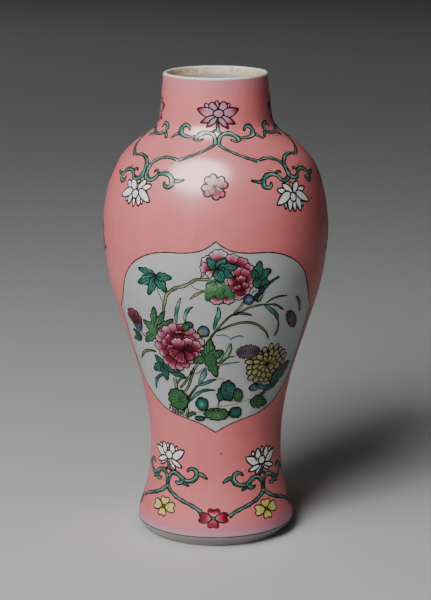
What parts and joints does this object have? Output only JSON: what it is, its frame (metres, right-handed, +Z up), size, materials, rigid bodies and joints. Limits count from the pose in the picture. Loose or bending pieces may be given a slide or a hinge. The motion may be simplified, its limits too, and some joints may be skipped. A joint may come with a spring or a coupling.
{
  "type": "porcelain vase",
  "caption": "Free-standing baluster vase in pink-ground porcelain with white flower panels, a short neck, a flared foot and a recessed base.",
  "frame": {"origin": "centre of the circle that the foot ring stands on", "axes": "+Z up the vase's axis, front panel facing -Y, +X to the right of the front panel"},
  "size_m": [0.12, 0.12, 0.25],
  "materials": {
    "bare_paste": "unglazed biscuit porcelain, cream to buff",
    "luting_slip": "fired slip between the thrown sections",
    "white_glaze": "glossy cool white glaze",
    "pink_enamel": "glossy opaque pink overglaze enamel",
    "line_enamel": "thin dark brown-black painted line",
    "white_enamel": "opaque white enamel of the lotus petals",
    "ruby_enamel": "deep ruby enamel of petal hearts and tips",
    "rose_enamel": "rose pink enamel of petals",
    "green_enamel": "translucent leaf green enamel",
    "turquoise_enamel": "opaque blue-green enamel of scrolls and leaves",
    "yellow_enamel": "opaque lemon to ochre yellow enamel",
    "aubergine_enamel": "translucent purple-brown enamel",
    "blue_enamel": "slate blue enamel"
  },
  "bodies": {
    "root": {"foot_section": "bare_paste", "belly_section": "bare_paste", "shoulder_section": "bare_paste", "neck_section": "bare_paste", "waist_slip_joint": "luting_slip", "belly_slip_joint": "luting_slip", "neck_slip_joint": "luting_slip", "outer_glaze": "white_glaze", "inner_glaze": "white_glaze", "base_glaze": "white_glaze", "pink_enamel_ground": "pink_enamel", "front_panel_border": "line_enamel", "back_panel_border": "line_enamel", "foot_line_enamel": "line_enamel"}
  },
  "joints": []
}
